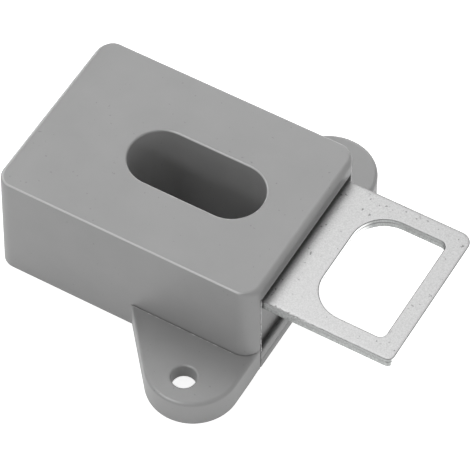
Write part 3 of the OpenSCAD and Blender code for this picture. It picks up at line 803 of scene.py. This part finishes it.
def return_springs():
    """Two coil springs of round wire, each held between the rear wall and its runner.

    The wire's middle follows a helix along X round the pin: its angle grows evenly, and its place along X
    grows by END_TURN_PITCH over the first and the last turn and at one even rate between them.
    """
    for side in ("left", "right"):
        node = "return_spring_" + side
        low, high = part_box(node)
        centre = (low.y + high.y) / 2
        turn = np.linspace(0, SPRING_TURNS, SPRING_TURNS * 28 + 1)[:, None]
        run = high.x - low.x - 2 * WIRE_RADIUS
        place = np.interp(turn, [0, 1, SPRING_TURNS - 1, SPRING_TURNS],
                          [0, END_TURN_PITCH, run - END_TURN_PITCH, run])
        section = np.linspace(0, 2 * math.pi, 12, endpoint=False)[None, :]
        along = low.x + WIRE_RADIUS + place + WIRE_RADIUS * np.sin(section)
        out = COIL_RADIUS + WIRE_RADIUS * np.cos(section)
        angle = 2 * math.pi * turn
        coil = skin("wound_spring_" + side,
                    np.stack([along, centre + out * np.cos(angle), PIN_Z + out * np.sin(angle)], -1))
        finished(coil, None, ["drawn_spring_steel"], [node], sharp=50)
        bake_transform(coil)


# Materials

def linear(code):
    """The linear colour of an sRGB hex code."""
    parts = [int(code[k:k + 2], 16) / 255 for k in (1, 3, 5)]
    return [c / 12.92 if c <= 0.04045 else ((c + 0.055) / 1.055) ** 2.4 for c in parts] + [1.0]


def add(material, kind, settings=None, **links):
    """Adds a node. settings gives its properties and its unlinked sockets. links gives the sockets that feed
    it, by name or as an underscore and a number."""
    made = material.node_tree.nodes.new(kind)
    for name, value in (settings or {}).items():
        if name in made.inputs:
            made.inputs[name].default_value = value
        else:
            setattr(made, name, value)
    for name, source in links.items():
        socket = made.inputs[int(name[1:])] if name[0] == "_" else made.inputs[name.replace("_", " ")]
        material.node_tree.links.new(source, socket)
    return made


def noise(material, size, detail, place):
    """Noise whose grain has the given size."""
    made = add(material, "ShaderNodeTexNoise", {"Scale": 1 / size, "Detail": detail}, Vector=place)
    return made.outputs["Fac"]


def ranged(material, settings, source, **links):
    """The source moved from one range to another."""
    return add(material, "ShaderNodeMapRange", settings, Value=source, **links).outputs[0]


def ramp(material, dark, pale, source):
    """A ramp between two colours, each given as its place on the ramp and its sRGB hex code."""
    made = add(material, "ShaderNodeValToRGB", Fac=source)
    for stop, (place, code) in zip(made.color_ramp.elements, (dark, pale)):
        stop.position, stop.color = place, linear(code)
    return made.outputs["Color"]


def new_material(name):
    """An empty material, and the place of a point on its piece."""
    material = bpy.data.materials.new(name)
    material.use_nodes = True
    material.node_tree.nodes.clear()
    return material, add(material, "ShaderNodeTexCoord").outputs["Object"]


def surface(material, settings, **links):
    """The shader that ends a material, with its settings and what feeds it."""
    shader = add(material, "ShaderNodeBsdfPrincipled", settings, **links)
    add(material, "ShaderNodeOutputMaterial", Surface=shader.outputs[0])


def abs_plastic():
    """Injection-moulded ABS, light grey, from a spark-eroded mould.

    The eye gets an even satin grey with a very fine grain, faint flow clouds and a few faint specks. The
    grain is drawn 0.14 mm across, about twice its real size, so that it shows. The small rounds along the
    roof's edges and the well's rim carry a painted highlight: their colour is mixed towards a paler grey,
    which draws the thin line of light that they catch. They are found by their height and by normals that
    lean away from straight up, but not towards the open end.
    """
    m, place = new_material("moulded_grey_abs")
    flow = noise(m, 6 * MM, 3, place)
    grey = ramp(m, (0.3, "#9f9f9f"), (0.7, "#a5a5a5"), flow)
    dots = noise(m, 0.45 * MM, 1, place)
    specks = ramp(m, (0.2, "#909090"), (0.26, "#ffffff"), dots)
    colour = add(m, "ShaderNodeMix", {"data_type": "RGBA", "blend_type": "MULTIPLY", "Factor": 0.35},
                 _6=grey, _7=specks)
    # Painted highlight: a mask of the small edge rounds, found by height and by normal
    leaning = add(m, "ShaderNodeSeparateXYZ", Vector=add(m, "ShaderNodeTexCoord").outputs["Normal"])
    height = add(m, "ShaderNodeSeparateXYZ", Vector=place).outputs["Z"]
    high = ranged(m, {"From Min": HEIGHT - 0.26 * MM, "From Max": HEIGHT - 0.18 * MM}, height)
    tilted = ranged(m, {"From Min": 0.985, "From Max": 0.9, "To Max": 0.9}, leaning.outputs["Z"])
    inland = ranged(m, {"From Min": 0.35, "From Max": 0.1}, leaning.outputs["X"])
    edge = add(m, "ShaderNodeMath", {"operation": "MULTIPLY"}, _0=high, _1=tilted)
    painted_highlight = add(m, "ShaderNodeMath", {"operation": "MULTIPLY"}, _0=edge.outputs[0], _1=inland)
    # The painted highlight mixes the colour towards a pale grey on those rounds
    both = add(m, "ShaderNodeMix", {"data_type": "RGBA"}, Factor=painted_highlight.outputs[0], _6=colour.outputs[2])
    both.inputs[7].default_value = linear("#cacaca")
    grain = noise(m, 0.14 * MM, 2, place)
    rough = ranged(m, {"To Min": 0.42, "To Max": 0.52}, flow)
    bump = add(m, "ShaderNodeBump", {"Strength": 0.12, "Distance": 0.02 * MM}, Height=grain).outputs["Normal"]
    surface(m, {"IOR": 1.54}, Base_Color=both.outputs[2], Roughness=rough, Normal=bump)


def abs_flash():
    """The same ABS where the mould left it paper thin.

    The eye gets a paler, cleaner grey: painted light, which stands in for the light that passes through the
    thin edge.
    """
    m, place = new_material("moulded_abs_flash")
    thin = noise(m, 0.3 * MM, 2, place)
    # Painted light: the flash's grey is set paler than the housing's for the light that shines through it
    colour = ramp(m, (0.3, "#b6b6b6"), (0.65, "#d8d8d8"), thin)
    rough = ranged(m, {"To Min": 0.3, "To Max": 0.45}, thin)
    surface(m, {"IOR": 1.54}, Base_Color=colour, Roughness=rough)


def plated_steel():
    """Stamped mild steel, dull nickel plated after stamping.

    The eye gets a pale matte metal with a fine sandy grain and sparse dark pits. It mirrors what is near it
    only as a blur. The grain is drawn 0.16 mm across, coarser than the real one, so that it shows.
    """
    m, place = new_material("dull_nickel_plated_steel")
    sand = add(m, "ShaderNodeTexNoise", {"Scale": 1 / (0.16 * MM), "Detail": 3, "Roughness": 0.6},
               Vector=place).outputs["Fac"]
    base = ramp(m, (0.32, "#9e9e9e"), (0.66, "#b5b5b5"), sand)
    dots = noise(m, 0.55 * MM, 2, place)
    pits = ramp(m, (0.25, "#989898"), (0.32, "#ffffff"), dots)
    colour = add(m, "ShaderNodeMix", {"data_type": "RGBA", "blend_type": "MULTIPLY", "Factor": 0.8},
                 _6=base, _7=pits)
    rough = ranged(m, {"To Min": 0.36, "To Max": 0.5}, sand)
    bump = add(m, "ShaderNodeBump", {"Strength": 0.25, "Distance": 0.015 * MM}, Height=sand).outputs["Normal"]
    surface(m, {"Metallic": 1.0}, Base_Color=colour.outputs[2], Roughness=rough, Normal=bump)


def sheared_edge_steel():
    """The plate's sheared edges: the same plating over steel that tore.

    The eye gets short upright streaks from the shears, about 0.1 mm apart, rougher than the faces. The edges
    that face the way the plate reaches get a painted reflection: a near-white, smoother colour chosen by the
    way they face, which stands in for the pale surroundings that they mirror.
    """
    m, place = new_material("sheared_steel_edge")
    # Painted reflection: faces turned towards +X are mixed towards near-white and made smoother
    facing = add(m, "ShaderNodeTexCoord").outputs["Normal"]
    reach = add(m, "ShaderNodeSeparateXYZ", Vector=facing).outputs["X"]
    painted_sheen = ranged(m, {"interpolation_type": "SMOOTHSTEP", "From Min": 0.72, "From Max": 0.99}, reach)
    upright = add(m, "ShaderNodeMapping", {"Scale": (1.0, 1.0, 0.15)}, Vector=place).outputs[0]
    tear = noise(m, 0.1 * MM, 3, upright)
    colour = ramp(m, (0.32, "#8f9190"), (0.62, "#b2b4b3"), tear)
    torn = ranged(m, {"To Min": 0.42, "To Max": 0.6}, tear)
    both = add(m, "ShaderNodeMix", {"data_type": "RGBA"}, _0=painted_sheen, _6=colour)
    # The painted reflection's near-white
    both.inputs[7].default_value = linear("#f9faf9")
    rough = ranged(m, {"To Max": 0.2}, painted_sheen, _3=torn)
    bump = add(m, "ShaderNodeBump", {"Strength": 0.4, "Distance": 0.02 * MM}, Height=tear).outputs["Normal"]
    surface(m, {"Metallic": 1.0}, Base_Color=both.outputs[2], Roughness=rough, Normal=bump)


def plain_finish(name, colour, roughness, metallic, grain):
    """A finish for an inner piece: one colour, with its grain in the roughness and a very fine bump."""
    m, place = new_material(name)
    fine = noise(m, grain, 3, place)
    rough = ranged(m, {"To Min": roughness - 0.06, "To Max": roughness + 0.06}, fine)
    bump = add(m, "ShaderNodeBump", {"Strength": 0.08, "Distance": 0.01 * MM}, Height=fine).outputs["Normal"]
    surface(m, {"Metallic": metallic, "Base Color": linear(colour)}, Roughness=rough, Normal=bump)


def materials():
    """Every finish. Each is named for what the piece is made of and how."""
    abs_plastic()
    abs_flash()
    plated_steel()
    sheared_edge_steel()
    plain_finish("zinc_plated_screw_steel", "#bcc0c4", 0.35, 1.0, 0.3 * MM)
    plain_finish("ground_pin_steel", "#c2c5c8", 0.25, 1.0, 0.2 * MM)
    plain_finish("moulded_black_pom", "#2b2c2e", 0.4, 0.0, 0.2 * MM)
    plain_finish("drawn_spring_steel", "#a9adb2", 0.3, 1.0, 0.1 * MM)
    plain_finish("moulded_rubber", "#1e1f21", 0.75, 0.0, 0.15 * MM)
    plain_finish("bright_nickel_plating", "#b9babd", 0.14, 1.0, 0.4 * MM)


def dress_inner_nodes():
    """The nodes whose solids are already right get their finishes."""
    finishes = {"guide_pin": "ground_pin_steel", "runner": "moulded_black_pom",
                "stop_bumper": "moulded_rubber", "sensor_magnet": "bright_nickel_plating"}
    for node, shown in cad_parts.items():
        for start, finish in finishes.items():
            if node.startswith(start):
                shown.data.materials.clear()
                shown.data.materials.append(bpy.data.materials[finish])


# Camera, light and floor

def camera():
    """The photograph's viewpoint: turned 30 degrees from the front and 53 degrees up, through a long lens."""
    data = bpy.data.cameras.new("camera")
    data.sensor_width, data.lens = 36, 266.7
    data.clip_start, data.clip_end = 0.01, 10
    shown = new_object("camera", data)
    turn, height, roll = math.radians(29.97), math.radians(53.09), math.radians(0.17)
    place = (119.76 * MM, -214.34 * MM, 336.92 * MM)
    look = Euler((math.pi / 2 - height, 0, turn)).to_matrix() @ Matrix.Rotation(roll, 3, "Z")
    shown.matrix_world = Matrix.Translation(place) @ look.to_4x4()
    bpy.context.scene.camera = shown


def lamp(name, size, power, place):
    """A square soft lamp that faces the middle of the part."""
    data = bpy.data.lights.new(name, "AREA")
    data.shape, data.size, data.energy = "SQUARE", size, power
    shown = new_object(name, data)
    facing = (Vector(place) - Vector((0, 0, 8 * MM))).to_track_quat("Z", "Y")
    shown.matrix_world = Matrix.Translation(place) @ facing.to_matrix().to_4x4()
    return shown


def edge_glints(moulding):
    """Three lamps that only the moulding's gloss shows, so that its small edge rounds catch a line of light:
    one in front, one to the left and one behind."""
    receivers = bpy.data.collections.new("moulding")
    receivers.objects.link(moulding)
    glints = (("front_glint", 4.5, (-0.18, -0.45, 0.42)), ("left_glint", 1.3, (-0.52, 0.04, 0.3)),
              ("behind_glint", 1.5, (-0.19, 0.55, 0.27)))
    for name, power, place in glints:
        glint = lamp(name, 0.16, power, place)
        glint.visible_diffuse = False
        glint.light_linking.receiver_collection = receivers


def studio():
    """White surroundings, a large soft lamp high behind and to the left, a weak one at the side, a small one
    in front, and a white floor that keeps a shadow.

    The floor lies just below the part, so that the two don't share a plane. The camera and gloss see it glow
    white, except below the well, where the glow would shine up through the slot.
    """
    world = bpy.data.worlds.new("studio")
    bpy.context.scene.world = world
    world.use_nodes = True
    background = world.node_tree.nodes["Background"]
    background.inputs["Color"].default_value = (1, 1, 1, 1)
    background.inputs["Strength"].default_value = 0.375
    lamp("back", 0.4, 1.55, (-0.19, 0.21, 0.58))
    lamp("side", 0.4, 0.28, (0.5, -0.05, 0.12))
    lamp("front", 0.09, 0.18, (-0.05, -0.4, 0.29))
    half, low = 0.6, -0.02 * MM
    corners = [(-half, -half, low), (half, -half, low), (half, half, low), (-half, half, low)]
    floor = new_object("floor", bpy.data.meshes.new("floor"))
    floor.data.from_pydata(corners, [], [(0, 1, 2, 3)])
    m, place = new_material("white_studio_floor")
    rays = add(m, "ShaderNodeLightPath")
    seen = add(m, "ShaderNodeMath", {"operation": "MAXIMUM"},
               _0=rays.outputs["Is Camera Ray"], _1=rays.outputs["Is Glossy Ray"])
    apart = add(m, "ShaderNodeVectorMath", {"operation": "DISTANCE"}, _0=place)
    apart.inputs[1].default_value = (WELL_X, 0, low)
    dark_up_to, white_from = 8 * MM, 9 * MM
    beyond = ranged(m, {"From Min": dark_up_to, "From Max": white_from}, apart.outputs["Value"])
    lit = add(m, "ShaderNodeMath", {"operation": "MULTIPLY"}, _0=seen.outputs[0], _1=beyond)
    lift = ranged(m, {"To Max": 0.86}, lit.outputs[0])
    diffuse = add(m, "ShaderNodeBsdfDiffuse", {"Color": (0.92, 0.92, 0.92, 1)})
    glow = add(m, "ShaderNodeEmission", {"Color": (1, 1, 1, 1)}, Strength=lift)
    both = add(m, "ShaderNodeAddShader", _0=diffuse.outputs[0], _1=glow.outputs[0])
    add(m, "ShaderNodeOutputMaterial", Surface=both.outputs[0])
    floor.data.materials.append(m)


materials()
camera()
studio()
edge_glints(housing())
mouth_flash()
foot_flash()
front_guide()
bottom_cover()
screws()
strike_plate()
return_springs()
dress_inner_nodes()

bpy.context.scene.view_settings.view_transform = "Standard"
